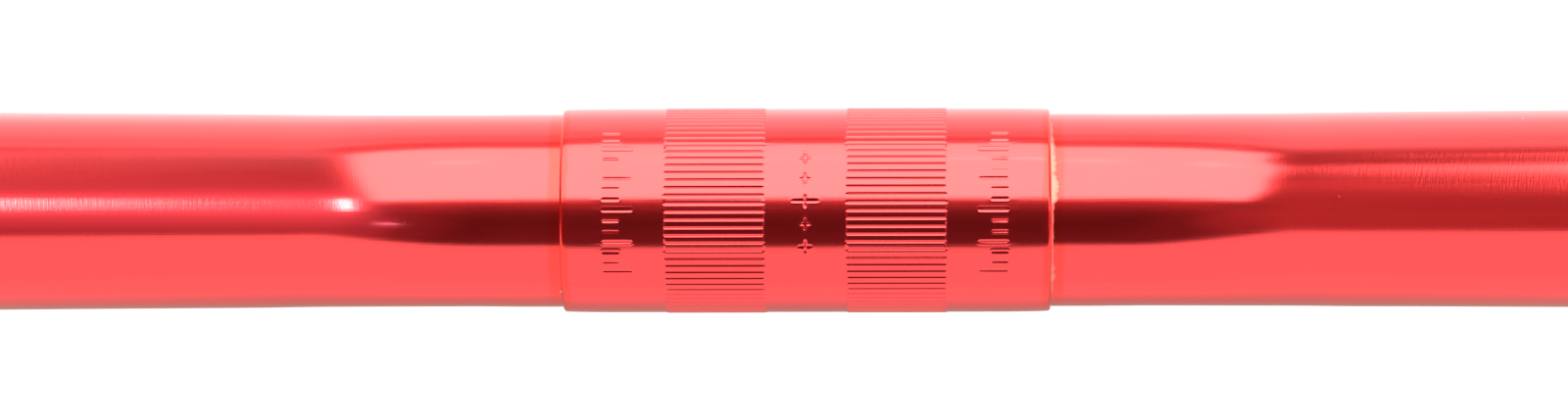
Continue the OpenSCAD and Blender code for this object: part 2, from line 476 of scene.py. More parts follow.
class LatheTree:
    """A geometry tree that turns a closed profile round a centreline."""

    def __init__(self, name: str, inputs: dict[str, str]) -> None:
        """Start the tree with its inputs.

        Args:
            name: the tree's name.
            inputs: Blender's socket type for each further input, by name.
        """
        self.tree = bpy.data.node_groups.new(name, "GeometryNodeTree")
        self.graph = NodeGraph(self.tree)
        face = self.tree.interface
        face.new_socket("Profile", in_out="INPUT", socket_type="NodeSocketGeometry")
        face.new_socket("Rings", in_out="INPUT", socket_type="NodeSocketInt")
        face.new_socket("Columns", in_out="INPUT", socket_type="NodeSocketInt")
        face.new_socket("Sharp Angle", in_out="INPUT", socket_type="NodeSocketFloat")
        face.new_socket("Material", in_out="INPUT", socket_type="NodeSocketMaterial")
        for label, kind in inputs.items():
            face.new_socket(label, in_out="INPUT", socket_type=kind)
        face.new_socket("Piece", in_out="OUTPUT", socket_type="NodeSocketGeometry")
        self.inputs = self.graph.add("NodeGroupInput").outputs
        self.columns = self.inputs["Columns"]
        self._grid()

    def _grid(self) -> None:
        """Add the grid that is rolled up, and read the profile onto it."""
        graph = self.graph
        round_trip = graph.math("ADD", self.columns, 1)
        feeds = {"Size X": 1.0, "Size Y": 1.0, "Vertices X": graph.math("ADD", self.inputs["Rings"], 1),
                 "Vertices Y": round_trip}
        self.grid = graph.add("GeometryNodeMeshGrid", feeds).outputs["Mesh"]
        index = graph.add("GeometryNodeInputIndex").outputs[0]
        ring = graph.math("FLOOR", graph.math("DIVIDE", graph.math("ADD", index, 0.5), round_trip))
        column = graph.math("SUBTRACT", index, graph.math("MULTIPLY", ring, round_trip))
        turned = graph.math("DIVIDE", graph.math("FLOORED_MODULO", column, self.columns), self.columns)
        self.angle = graph.math("MULTIPLY", turned, 2 * math.pi)
        place = graph.add("GeometryNodeInputPosition").outputs[0]
        sample = graph.add("GeometryNodeSampleIndex", data_type="FLOAT_VECTOR", domain="POINT")
        graph.feed(sample.inputs["Geometry"], self.inputs["Profile"])
        graph.feed(sample.inputs["Value"], place)
        graph.feed(sample.inputs["Index"], graph.math("FLOORED_MODULO", ring, self.inputs["Rings"]))
        self.along, self.radius, _ = graph.split(sample.outputs["Value"])

    def finish(self, place: bpy.types.NodeSocket, drawn: Optional[bpy.types.NodeSocket] = None) -> None:
        """Put the grid's points in place, close it, and dress it.

        Args:
            place: where each point goes.
            drawn: where it lies on the bar drawn out straight, to be stored for the material.
        """
        graph = self.graph
        shape = self.grid
        if drawn is not None:
            store = graph.add("GeometryNodeStoreNamedAttribute", data_type="FLOAT_VECTOR", domain="POINT")
            graph.feed(store.inputs["Geometry"], shape)
            graph.feed(store.inputs["Name"], "drawn")
            graph.feed(store.inputs["Value"], drawn)
            shape = store.outputs[0]
        moved = graph.add("GeometryNodeSetPosition", {"Geometry": shape, "Position": place}).outputs[0]
        closed = graph.add("GeometryNodeMergeByDistance", {"Geometry": moved, "Distance": 2e-6}).outputs[0]
        smooth = graph.add("GeometryNodeSetShadeSmooth", {"Geometry": closed, "Shade Smooth": True})
        bend = graph.add("GeometryNodeInputMeshEdgeAngle").outputs["Unsigned Angle"]
        sharp = graph.math("GREATER_THAN", bend, self.inputs["Sharp Angle"])
        creased = graph.add("GeometryNodeSetShadeSmooth", {"Geometry": smooth.outputs[0], "Selection": sharp},
                            domain="EDGE")
        creased.inputs["Shade Smooth"].default_value = False
        real = graph.add("GeometryNodeRealizeInstances", {"Geometry": creased.outputs[0]}).outputs[0]
        dressed = graph.add("GeometryNodeSetMaterial", {"Geometry": real, "Material": self.inputs["Material"]})
        graph.add("NodeGroupOutput", {"Piece": dressed.outputs[0]})


@dataclass
class HandlebarTube:
    """The bent tube, hollow and open at both ends. Lengths in metres."""

    route: BarRoute
    radius: float = 12 * MM
    wall: float = 2.4 * MM
    grip_radius: float = 11.1 * MM
    grip_wall: float = 2 * MM
    swage: float = 40 * MM
    chamfer: float = 0.4 * MM
    neck: float = 0.05 * MM
    neck_ease: float = 9 * MM
    wave: float = 0.045 * MM
    wave_length: float = 26 * MM
    wave_from: float = 33 * MM
    columns: int = 160
    fine_step: float = 1 * MM
    coarse_step: float = 4 * MM

    def outer_radius(self, along: float) -> float:
        """Return the outside radius, slightly slimmer in the bends."""
        route = self.route
        away = abs(along)
        into_swage = min(max((away - route.swage_start) / self.swage, 0.0), 1.0)
        slim = 0.0
        for start, end in ((route.bend_1, route.rise_start), (route.bend_2, route.swage_start)):
            inside = min(away - start, end - away) / self.neck_ease + 0.5
            slim += self.neck * float(np.clip(inside, 0, 1)) ** 2 * (3 - 2 * float(np.clip(inside, 0, 1)))
        return self.radius + (self.grip_radius - self.radius) * into_swage - slim

    def half_stations(self, step: float, coarse: float) -> list[float]:
        """Return distances from the middle to just before the open end, close together where the bar bends."""
        route = self.route
        swage_end = route.swage_start + self.swage
        stations = spaced(0.0, route.swage_start, step)
        stations += spaced(route.swage_start, swage_end, coarse)
        stations += spaced(swage_end, route.half - self.chamfer, coarse * 1.5)
        return stations + [route.half - self.chamfer]

    def profile(self) -> list[tuple[float, float]]:
        """Return the closed profile: outside from left to right, and back through the bore."""
        out = self.half_stations(self.fine_step, self.coarse_step)
        out = [-a for a in out[:0:-1]] + out
        points = [(a, self.outer_radius(a)) for a in out]
        back = self.half_stations(self.coarse_step, self.coarse_step * 2)
        back = back[::-1] + [-a for a in back[1:]]
        bore = self.grip_radius - self.grip_wall
        end = self.route.half
        points.append((end, self.grip_radius - self.chamfer))
        points.append((end, bore + self.chamfer))
        for a in back:
            share = (self.radius - self.outer_radius(a)) / (self.radius - self.grip_radius)
            wall = self.wall + (self.grip_wall - self.wall) * min(max(share, 0.0), 1.0)
            points.append((a, self.outer_radius(a) - wall))
        points.append((-end, bore + self.chamfer))
        points.append((-end, self.grip_radius - self.chamfer))
        return points

    def waved(self, lathe: LatheTree) -> bpy.types.NodeSocket:
        """Return the radius with the slight waves that bending leaves, none of them under the sleeve.

        Args:
            lathe: the tree under construction.

        Returns:
            The radius of each point.
        """
        graph = lathe.graph
        sine = graph.math("MULTIPLY", lathe.radius, graph.math("SINE", lathe.angle))
        cosine = graph.math("MULTIPLY", lathe.radius, graph.math("COSINE", lathe.angle))
        spot = graph.scale(graph.join(graph.math("MULTIPLY", lathe.along, 0.6), sine, cosine),
                           graph.math("DIVIDE", 1.0, lathe.inputs["Wave Length"]))
        wave = graph.math("SUBTRACT", graph.noise(spot, 1.0, 1.0), 0.5)
        away = graph.math("ABSOLUTE", lathe.along)
        begun = graph.ramp(away, self.wave_from, self.wave_from + 9 * MM)
        done = graph.ramp(away, self.route.half - 12 * MM, self.route.half - 2 * MM, 1.0, 0.0)
        share = graph.math("MULTIPLY", graph.math("MULTIPLY", begun, done), 2.0)
        height = graph.math("MULTIPLY", graph.math("MULTIPLY", wave, share), lathe.inputs["Wave Height"])
        return graph.math("ADD", lathe.radius, height)

    def tree(self) -> bpy.types.NodeTree:
        """Return the tree that turns the profile round the bent centreline."""
        lathe = LatheTree("tube_along_route", {"Route": "NodeSocketObject", "Half Length": "NodeSocketFloat",
                                               "Wave Height": "NodeSocketFloat", "Wave Length": "NodeSocketFloat"})
        graph = lathe.graph
        line = graph.add("GeometryNodeObjectInfo", {"Object": lathe.inputs["Route"]}).outputs["Geometry"]
        sample = graph.add("GeometryNodeSampleCurve", mode="LENGTH")
        graph.feed(sample.inputs["Curves"], line)
        graph.feed(sample.inputs["Length"], graph.math("ADD", lathe.along, lathe.inputs["Half Length"]))
        ahead = sample.outputs["Tangent"]
        across = graph.vector("NORMALIZE", graph.vector("CROSS_PRODUCT", (0, 0, 1), ahead))
        up = graph.vector("CROSS_PRODUCT", ahead, across)
        radius = self.waved(lathe)
        sine = graph.math("MULTIPLY", radius, graph.math("SINE", lathe.angle))
        cosine = graph.math("MULTIPLY", radius, graph.math("COSINE", lathe.angle))
        offset = graph.vector("ADD", graph.scale(across, sine), graph.scale(up, cosine))
        place = graph.vector("ADD", sample.outputs["Position"], offset)
        lathe.finish(place, graph.join(lathe.along, sine, cosine))
        return lathe.tree

    def build(self, finish: AnodisedFinish) -> bpy.types.Object:
        """Return the finished tube."""
        line = self.route.curve()
        profile = self.profile()
        values = {"Rings": len(profile), "Columns": self.columns, "Sharp Angle": math.radians(30),
                  "Material": finish.build(), "Route": line, "Half Length": self.route.half,
                  "Wave Height": self.wave, "Wave Length": self.wave_length}
        piece = grown(profile_object("tube_profile", profile), self.tree(), values, "bent_tube")
        bpy.data.objects.remove(line)
        return piece


@dataclass
class ClampSleeve:
    """The knurled sleeve: two grooved bands, and small plain marks where the clamp hides them. Metres, degrees."""

    length: float = 60.6 * MM
    radius: float = 12.7 * MM
    bore: float = 12.02 * MM
    end_radius: float = 12.6 * MM
    ease: float = 7 * MM
    edge: float = 0.4 * MM
    band_inner: float = 5.1 * MM
    band_outer: float = 17.35 * MM
    grooves: int = 80
    mouth: float = 0.30 * MM
    depth: float = 0.115 * MM
    crest: float = 0.075 * MM
    gather: float = 0.62
    fade: float = 0.16 * MM
    left_phase: float = -0.8
    right_phase: float = -0.15
    phase_blend: float = 4.5 * MM
    mark_outer: float = 25.1 * MM
    long_mark: float = 3.8 * MM
    short_mark: float = 2.2 * MM
    mark_pitch: float = 6.0
    mark_span: float = 50.0
    stroke: float = 0.42 * MM
    mark_depth: float = 0.08 * MM
    mark_rim: float = 0.02 * MM
    cross_pitch: float = 12.8
    cross_middle: float = 5.0
    cross_reach: float = 0.85 * MM
    cross_arm: float = 0.8 * MM
    middle_arm: float = 1.6 * MM
    columns: int = 800

    def surface_radius(self, along: float) -> float:
        """Return the plain surface's radius, which eases in towards the ends."""
        share = float(np.clip((abs(along) - (self.length / 2 - self.ease)) / self.ease, 0, 1))
        return self.radius - (self.radius - self.end_radius) * share * share

    def half_stations(self) -> list[float]:
        """Return distances from the middle for the rings, close together where a form starts or ends."""
        near = [-0.32, -0.18, -0.06, 0.06, 0.20]
        stops = [n * MM for n in (0.0, 0.07, 0.13, 0.19, 0.25, 0.34, 0.46)]
        for edge in (self.cross_arm, self.middle_arm):
            stops += [edge + n * MM for n in (-0.1, 0.1, 0.28, 0.42)]
        for edge in (self.band_inner, self.band_outer):
            stops += [edge + n * MM for n in (-0.30, -0.16, -0.05, 0.05, 0.16, 0.30)]
        stops += [self.band_inner + share * (self.band_outer - self.band_inner) for share in (0.33, 0.67)]
        for edge in (self.mark_outer, self.mark_outer - self.short_mark, self.mark_outer - self.long_mark):
            stops += [edge + n * MM for n in near]
        end = self.length / 2 - self.edge
        stops += [3.4 * MM, self.mark_outer + 1.6 * MM, end - 2 * MM, end - 0.8 * MM]
        return sorted(s for s in stops if s < end)

    def profile(self) -> list[tuple[float, float]]:
        """Return the closed profile: outside from left to right, and back through the bore."""
        half = self.half_stations()
        end = self.length / 2
        turn = [math.radians(a) for a in (0, 18, 36, 54, 72, 90)]
        rim = self.surface_radius(end) - self.edge
        corner = [(end - self.edge + self.edge * math.sin(a), rim + self.edge * math.cos(a)) for a in turn]
        right = [(a, self.surface_radius(a)) for a in half] + corner
        left = [(-a, r) for a, r in right[:0:-1]]
        chamfer = 0.05 * MM
        back = [(end, self.bore + chamfer), (end - chamfer, self.bore), (0.0, self.bore)]
        mirrored = [(-a, r) for a, r in back[1::-1]]
        return left + right + back + mirrored

    def groove_height(self, lathe: LatheTree) -> bpy.types.NodeSocket:
        """Draw the points together round each groove, and return how far the knurling lifts or sinks them.

        Args:
            lathe: the tree under construction.

        Returns:
            The height above the plain surface.
        """
        graph = lathe.graph
        pitch = 2 * math.pi / self.grooves
        right = graph.math("GREATER_THAN", lathe.along, 0.0)
        turned = graph.math("DIVIDE", lathe.angle, pitch)
        number = graph.math("ROUND", turned)
        phase = graph.ramp(lathe.along, -self.phase_blend, self.phase_blend,
                           math.radians(self.left_phase), math.radians(self.right_phase))
        swing = graph.math("SINE", graph.math("MULTIPLY", lathe.angle, self.grooves))
        drawn_in = graph.math("MULTIPLY", swing, -self.gather * pitch / (2 * math.pi))
        gathered = graph.math("ADD", lathe.angle, drawn_in)
        off = graph.math("SUBTRACT", graph.math("DIVIDE", gathered, pitch), number)
        lathe.angle = graph.math("ADD", gathered, phase)
        from_groove = graph.math("MULTIPLY", graph.math("ABSOLUTE", off), pitch * self.radius)
        sunk = graph.ramp(from_groove, self.mouth * 0.08, self.mouth * 0.5, 1.0, 0.0)
        height = graph.math("MULTIPLY_ADD", sunk, -self.depth, self.crest)
        chance = graph.add("FunctionNodeRandomValue", data_type="FLOAT")
        chance.inputs[2].default_value = -0.08 * MM
        chance.inputs[3].default_value = 0.08 * MM
        wrapped = graph.math("FLOORED_MODULO", number, self.grooves)
        graph.feed(chance.inputs["ID"], graph.math("MULTIPLY_ADD", right, 500, wrapped))
        graph.feed(chance.inputs["Seed"], lathe.inputs["Seed"])
        away = graph.math("ADD", graph.math("ABSOLUTE", lathe.along), chance.outputs[1])
        starts = graph.ramp(away, self.band_inner - self.fade, self.band_inner + self.fade)
        ends = graph.ramp(away, self.band_outer - self.fade, self.band_outer + self.fade, 1.0, 0.0)
        return graph.math("MULTIPLY", height, graph.math("MULTIPLY", starts, ends))

    def stamped(self, graph: NodeGraph, across: Feed, low: Feed, high: Feed, at: Feed) -> bpy.types.NodeSocket:
        """Return the distance from a straight stroke along the bar.

        Args:
            graph: the tree's graph.
            across: distance from the stroke's line, round the sleeve.
            low: where the stroke starts along the bar.
            high: where it ends.
            at: the place along the bar.

        Returns:
            The distance from the stroke's middle line.
        """
        before = graph.math("SUBTRACT", low, at)
        after = graph.math("SUBTRACT", at, high)
        beyond = graph.math("MAXIMUM", graph.math("MAXIMUM", before, after), 0.0)
        return graph.length(graph.join(beyond, across, 0.0))

    def mark_height(self, lathe: LatheTree) -> bpy.types.NodeSocket:
        """Return how far the stamped marks lift or sink each point: ticks at the sides, crosses in the middle.

        Args:
            lathe: the tree under construction.

        Returns:
            The height above the plain surface.
        """
        graph = lathe.graph
        half_stroke = self.stroke / 2
        signed = graph.math("WRAP", lathe.angle, math.pi, -math.pi)
        from_middle = graph.math("ABSOLUTE", lathe.along)

        pitch = math.radians(self.mark_pitch)
        number = graph.math("ROUND", graph.math("DIVIDE", signed, pitch))
        line = graph.math("SUBTRACT", signed, graph.math("MULTIPLY", number, pitch))
        across = graph.math("MULTIPLY", line, self.radius)
        third = graph.math("LESS_THAN", graph.math("FLOORED_MODULO", number, 3.0), 0.5)
        reach = graph.ramp(third, 0.0, 1.0, self.short_mark, self.long_mark, False)
        outer = self.mark_outer - half_stroke
        inner = graph.math("ADD", graph.math("SUBTRACT", self.mark_outer, reach), half_stroke)
        tick = self.stamped(graph, across, inner, outer, from_middle)
        shown = graph.math("LESS_THAN", graph.math("ABSOLUTE", signed), math.radians(self.mark_span))
        tick = graph.math("ADD", tick, graph.math("MULTIPLY", graph.math("SUBTRACT", 1.0, shown), 1.0))

        pitch = math.radians(self.cross_pitch)
        turned = graph.math("SUBTRACT", signed, math.radians(self.cross_middle))
        number = graph.math("ROUND", graph.math("DIVIDE", turned, pitch))
        number = graph.math("MINIMUM", graph.math("MAXIMUM", number, -2.0), 2.0)
        line = graph.math("SUBTRACT", turned, graph.math("MULTIPLY", number, pitch))
        across = graph.math("MULTIPLY", line, self.radius)
        centre = graph.math("LESS_THAN", graph.math("ABSOLUTE", number), 0.5)
        arm = graph.ramp(centre, 0.0, 1.0, self.cross_arm, self.middle_arm, False)
        arm = graph.math("SUBTRACT", arm, half_stroke)
        along_bar = self.stamped(graph, across, graph.math("MULTIPLY", arm, -1.0), arm, lathe.along)
        reach = self.cross_reach - half_stroke
        round_bar = self.stamped(graph, lathe.along, -reach, reach, across)
        cross = graph.math("MINIMUM", along_bar, round_bar)

        near = graph.math("MINIMUM", tick, cross)
        sunk = graph.ramp(near, half_stroke * 0.35, half_stroke * 1.05, -self.mark_depth, 0.0)
        inside = graph.ramp(near, half_stroke * 0.8, half_stroke * 1.25)
        outside = graph.ramp(near, half_stroke * 1.35, half_stroke * 2.1, 1.0, 0.0)
        rim = graph.math("MULTIPLY", graph.math("MULTIPLY", inside, outside), self.mark_rim)
        return graph.math("ADD", sunk, rim)

    def tree(self) -> bpy.types.NodeTree:
        """Return the tree that turns the profile round X and adds knurling and marks."""
        lathe = LatheTree("knurled_sleeve_lathe", {"Seed": "NodeSocketInt"})
        graph = lathe.graph
        height = graph.math("ADD", self.groove_height(lathe), self.mark_height(lathe))
        outside = graph.math("GREATER_THAN", lathe.radius, self.end_radius - 0.02 * MM)
        within = graph.math("LESS_THAN", graph.math("ABSOLUTE", lathe.along), self.length / 2 - 1 * MM)
        height = graph.math("MULTIPLY", height, graph.math("MULTIPLY", outside, within))
        radius = graph.math("ADD", lathe.radius, height)
        sine = graph.math("MULTIPLY", radius, graph.math("SINE", lathe.angle))
        cosine = graph.math("MULTIPLY", radius, graph.math("COSINE", lathe.angle))
        lathe.finish(graph.join(lathe.along, sine, cosine))
        return lathe.tree

    def build(self, finish: AnodisedFinish) -> bpy.types.Object:
        """Return the finished sleeve."""
        profile = self.profile()
        values = {"Rings": len(profile), "Columns": self.columns, "Sharp Angle": math.radians(75),
                  "Material": finish.build(), "Seed": 7}
        return grown(profile_object("sleeve_profile", profile), self.tree(), values, "knurled_sleeve")


@dataclass
class BondLine:
    """What was squeezed out of the bond: a ragged bead at one end of the sleeve, a blob at the other. Metres, degrees."""

    tube_radius: float = 12 * MM
    face: float = 30.3 * MM
    first: float = -60.0
    last: float = 66.0
    step: float = 0.5
    height: float = 0.24 * MM
    widest: float = 1.35 * MM
    widest_at: float = 11.0
    blob_at: float = -56.0
    blob_radius: float = 0.3 * MM
    sides: int = 9
    seed: int = 11

    def width(self, angle: float, noise: float) -> float:
        """Return the bead's width at an angle round the tube."""
        swell = 0.52 * math.exp(-(((angle - self.widest_at) / 7.0) ** 2))
        swell += 0.30 * math.exp(-(((angle - 30.0) / 13.0) ** 2))
        swell += 0.16 * math.exp(-(((angle + 42.0) / 8.0) ** 2))
        return self.widest * (0.21 + swell) * (1 + 0.22 * noise)

    def bead_mesh(self, shape: bmesh.types.BMesh, cover: bmesh.types.BMLayerItem) -> None:
        """Add the bead, a ragged fillet in the corner between tube and sleeve.

        Args:
            shape: the mesh under construction.
            cover: the layer that holds how thick the adhesive lies.
        """
        random = np.random.default_rng(self.seed)
        count = round((self.last - self.first) / self.step) + 1
        rough = np.convolve(random.normal(size=count + 16), np.hanning(9) / 3.2, "valid")[:count]
        fine = random.normal(size=count) * 0.35
        rings = []
        for i in range(count):
            angle = self.first + i * self.step
            taper = min(1.0, (angle - self.first) / 5, (self.last - angle) / 5)
            taper = max(taper, 0.06) ** 0.5
            width = self.width(angle, float(rough[i] + fine[i])) * taper
            height = min(self.height, 0.10 * MM + width * 0.30) * taper
            across, up = math.sin(math.radians(angle)), math.cos(math.radians(angle))
            ring = []
            for j in range(self.sides):
                share = j / (self.sides - 1)
                lift = height * (1 - share) ** 1.6
                x, r = self.face + width * share, self.tube_radius + lift
                vert = shape.verts.new((x, r * across, r * up))
                vert[cover] = min(1.0, width / (0.5 * self.widest)) * (1 - 0.55 * share)
                ring.append(vert)
            root = self.tube_radius - 0.03 * MM
            for x in (self.face + width, self.face):
                vert = shape.verts.new((x, root * across, root * up))
                vert[cover] = 0.3
                ring.append(vert)
            rings.append(ring)
        size = len(rings[0])
        for near, far in zip(rings, rings[1:]):
            for j in range(size):
                k = (j + 1) % size
                shape.faces.new((near[j], near[k], far[k], far[j]))
        shape.faces.new(rings[0])
        shape.faces.new(rings[-1][::-1])

    def blob_mesh(self, shape: bmesh.types.BMesh, cover: bmesh.types.BMLayerItem) -> None:
        """Add the blob in the corner at the sleeve's left-hand end."""
        turn = Matrix.Rotation(math.radians(-self.blob_at), 4, "X")
        place = turn @ Matrix.Translation((-self.face - 0.02 * MM, 0, self.tube_radius))
        squash = Matrix.Diagonal((0.8, 1.0, 0.72, 1.0))
        made = bmesh.ops.create_uvsphere(shape, u_segments=20, v_segments=12, radius=self.blob_radius,
                                         matrix=place @ squash)
        for vert in made["verts"]:
            vert[cover] = 0.9

    def build(self, finish: AdhesiveFinish) -> bpy.types.Object:
        """Return the finished bead and blob as one piece."""
        shape = bmesh.new()
        cover = shape.verts.layers.float.new("cover")
        self.bead_mesh(shape, cover)
        self.blob_mesh(shape, cover)
        bmesh.ops.recalc_face_normals(shape, faces=shape.faces)
        for face in shape.faces:
            face.smooth = True
        mesh = bpy.data.meshes.new("bond_line")
        shape.to_mesh(mesh)
        shape.free()
        mesh.materials.append(finish.build())
        LOG.info("bond_line: %d faces", len(mesh.polygons))
        return new_object("bond_line", mesh)


# Studio


@dataclass(frozen=True)
class SoftLamp:
    """A rectangular lamp that faces the clamp. The direction is seen from the bar, and level is its radiance."""

    name: str
    direction: tuple[float, float, float]
    distance: float
    width: float
    height: float
    level: float
    colour: tuple[float, float, float] = (1.0, 1.0, 1.0)

    def build(self) -> bpy.types.Object:
        """Return the lamp, which is seen in the metal but not by the camera."""
        data = bpy.data.lights.new(self.name, "AREA")
        data.shape = "RECTANGLE"
        data.size = self.width
        data.size_y = self.height
        data.energy = self.level * math.pi * self.width * self.height
        data.color = self.colour
        lamp = new_object(self.name, data)
        back = Vector(self.direction).normalized()
        side = Vector((1, 0, 0)) - back * back.x
        side.normalize()
        top = back.cross(side)
        turn = Matrix((side, top, back)).transposed().to_4x4()
        lamp.matrix_world = Matrix.Translation(back * self.distance) @ turn
        lamp.visible_camera = False
        return lamp


@dataclass
class Studio:
    """A light tent with a softbox in its wall, over a white table that shows a painted shadow and painted pools of
    light in the metal, and two small lamps. Metres and degrees.
    """

    tent_radius: float = 4.0
    floor_size: float = 60.0
    floor_height: float = -0.12
    white: float = 1.0
    floor_share: float = 0.62
    # Painted light and painted shadow on the table, seen only in the metal: the pools of extra glow and the shadow
    # strip's colour.
    painted_light_pool: float = 1.35
    far_painted_light: float = 0.40
    side_painted_light: float = 0.40
    painted_shade_colour: tuple[float, float, float] = (0.45, 0.42, 0.35)
    dark: float = 0.145
    left_gain: float = 0.58
    right_gain: float = 0.70
    dark_tint: tuple[float, float, float] = (1.0, 0.42, 0.46)
    left_tint: tuple[float, float, float] = (1.0, 0.47, 0.47)
    right_tint: tuple[float, float, float] = (1.0, 0.52, 0.62)
    wall_colour: tuple[float, float, float] = (0.20, 0.95, 1.00)
    spill: float = 0.30
    window_colour: tuple[float, float, float] = (0.63, 0.50, 0.72)
    horizon_colour: tuple[float, float, float] = (0.98, 0.76, 0.80)
    side_colour: tuple[float, float, float] = (1.05, 1.30, 1.40)
    end_colour: tuple[float, float, float] = (0.92, 1.00, 1.00)
    card_level: float = 1.29
    card_edge: float = 42.4
    box_level: float = 4.2
    box_low: float = -0.70
    box_high: float = 0.66
    box_right: float = 0.685
    box_slant: float = -0.238
    box_halo: float = 0.12
    halo_reach: float = 0.30
    fold_gain: float = 0.80

    def bump(self, graph: NodeGraph, value: Feed, middle: float, reach: float) -> bpy.types.NodeSocket:
        """Return a soft bump that is 1 at the middle and 0 past its reach."""
        off = graph.math("ABSOLUTE", graph.math("SUBTRACT", value, middle))
        return graph.ramp(off, 0.0, reach, 1.0, 0.0)

    def softbox(self, graph: NodeGraph,
                way: bpy.types.NodeSocket) -> tuple[bpy.types.NodeSocket, bpy.types.NodeSocket]:
        """Return how much of the softbox is seen in a direction, 0 to 1, and how bright its cloth is there.

        Args:
            graph: the tent's graph.
            way: the direction from the bar.

        Returns:
            The share, 0 outside the softbox, and the brightness.
        """
        facing, leaning = Vector((0, 0.740, 0.672)), Vector((0, 0.672, -0.740))
        ahead = graph.add("ShaderNodeVectorMath", {0: way, 1: facing}, operation="DOT_PRODUCT").outputs["Value"]
        lean = graph.add("ShaderNodeVectorMath", {0: way, 1: leaning}, operation="DOT_PRODUCT").outputs["Value"]
        safe = graph.math("MAXIMUM", ahead, 0.05)
        u = graph.math("DIVIDE", graph.split(way)[0], safe)
        v = graph.math("DIVIDE", lean, safe)
        slant = graph.math("MULTIPLY_ADD", v, self.box_slant, self.box_right)
        left_end = graph.ramp(v, -0.45, 0.48, -1.04, -0.665)
        tongue = graph.math("MULTIPLY", graph.ramp(v, -0.12, 0.30), graph.ramp(v, 0.30, 0.44, 1.0, 0.0))
        left_end = graph.math("MULTIPLY_ADD", tongue, -0.125, left_end)
        low = graph.ramp(v, self.box_low - 0.04, self.box_low + 0.05)
        high = graph.ramp(v, self.box_high - 0.03, self.box_high + 0.02, 1.0, 0.0)
        left = graph.ramp(graph.math("SUBTRACT", u, left_end), -0.05, 0.06)
        past = graph.math("SUBTRACT", u, slant)
        right = graph.ramp(past, -0.08, 0.06, 1.0, 0.0)
        right = graph.math("MAXIMUM", right, graph.ramp(past, 0.0, self.halo_reach, self.box_halo, 0.0))
        share = graph.math("MULTIPLY", graph.math("MULTIPLY", low, high), graph.math("MULTIPLY", left, right))
        fold = self.bump(graph, graph.math("MULTIPLY_ADD", u, -0.04, v), 0.222, 0.030)
        patches = graph.math("ADD", self.bump(graph, u, 0.09, 0.16), self.bump(graph, u, -0.40, 0.16))
        gain = graph.math("MULTIPLY_ADD", graph.math("MULTIPLY", fold, patches), self.fold_gain, 1.0)
        return graph.math("MULTIPLY", share, graph.math("GREATER_THAN", ahead, 0.06)), gain

    def tent_material(self) -> bpy.types.Material:
        """Return the tent's glow: dark overhead, paler to both sides, white on the rider's side."""
        material, graph = new_material("tent_glow")
        way = graph.vector("NORMALIZE", graph.add("ShaderNodeTexCoord").outputs["Object"])
        x, y, z = graph.split(way)
        tilt = graph.math("DEGREES", graph.math("ARCTAN2", y, z))
        right = graph.ramp(x, -0.1, 0.1)
        sideways = graph.ramp(graph.math("ABSOLUTE", x), 0.2, 0.7)
        gain = graph.ramp(right, 0.0, 1.0, self.left_gain, self.right_gain, False)
        level = graph.math("MULTIPLY_ADD", graph.math("MULTIPLY", x, x), gain, self.dark)
        cloud = graph.noise(graph.vector("MULTIPLY", way, (3.4, 2.6, 2.6)), 1.0, 2.0)
        level = graph.math("MULTIPLY", level, graph.math("MULTIPLY_ADD", cloud, 1.2, 0.4))
        spill = graph.math("MULTIPLY", graph.ramp(tilt, -8.0, 14.0), graph.ramp(sideways, 0.0, 1.0, self.spill, 0.0))
        level = graph.math("ADD", level, spill)
        side_tint = graph.mix(right, rgba(self.left_tint), rgba(self.right_tint))
        tint = graph.mix(sideways, rgba(self.dark_tint), side_tint)
        glow = graph.mix(1.0, graph.join(level, level, level), tint, "MULTIPLY")

        window = graph.math("MULTIPLY", self.bump(graph, tilt, 11.0, 50.0), graph.ramp(x, 0.42, 0.80))
        glow = graph.mix(window, glow, rgba(self.window_colour), "ADD")
        wall = graph.math("MULTIPLY", graph.ramp(tilt, 58.0, 96.0), graph.ramp(x, 0.35, 0.70))
        glow = graph.mix(wall, glow, rgba(self.wall_colour), "ADD")
        low = graph.ramp(graph.math("SUBTRACT", tilt, graph.ramp(x, -0.2, -0.45, 0.0, 6.0)), 77.0, 85.0)
        horizon = graph.mix(graph.ramp(x, -0.2, -0.4), rgba(self.horizon_colour), rgba(self.end_colour))
        horizon = graph.mix(graph.ramp(x, 0.38, 0.44), horizon, rgba(self.side_colour))
        glow = graph.mix(graph.math("MULTIPLY", low, 0.85), glow, horizon)
        box, gain = self.softbox(graph, way)
        bright = (self.box_level, self.box_level * 0.98, self.box_level * 0.94, 1.0)
        glow = graph.mix(box, glow, graph.mix(1.0, bright, graph.join(gain, gain, gain), "MULTIPLY"))
        edge = graph.ramp(x, -0.72, -0.05, self.card_edge - 5.5, self.card_edge)
        edge = graph.math("SUBTRACT", edge, graph.ramp(x, 0.05, 0.72, 0.0, 3.0))
        from_edge = graph.math("ADD", tilt, edge)
        card = graph.ramp(from_edge, -1.8, 1.8, 1.0, 0.0)
        white = (self.card_level, self.card_level, self.card_level, 1.0)
        glow = graph.mix(card, glow, white)
        light = graph.add("ShaderNodeEmission", {"Color": glow, "Strength": 1.0})
        graph.output(light.outputs[0])
        return material

    def tent(self) -> bpy.types.Object:
        """Return the tent, a half sphere that the metal sees and the camera looks through."""
        shape = bmesh.new()
        bmesh.ops.create_uvsphere(shape, u_segments=64, v_segments=32, radius=self.tent_radius)
        low = [f for f in shape.faces if f.calc_center_median().z < self.floor_height - 0.1]
        bmesh.ops.delete(shape, geom=low, context="FACES")
        for face in shape.faces:
            face.smooth = True
        mesh = bpy.data.meshes.new("light_tent")
        shape.to_mesh(mesh)
        shape.free()
        mesh.materials.append(self.tent_material())
        tent = new_object("light_tent", mesh)
        tent.visible_camera = False
        tent.visible_shadow = False
        return tent

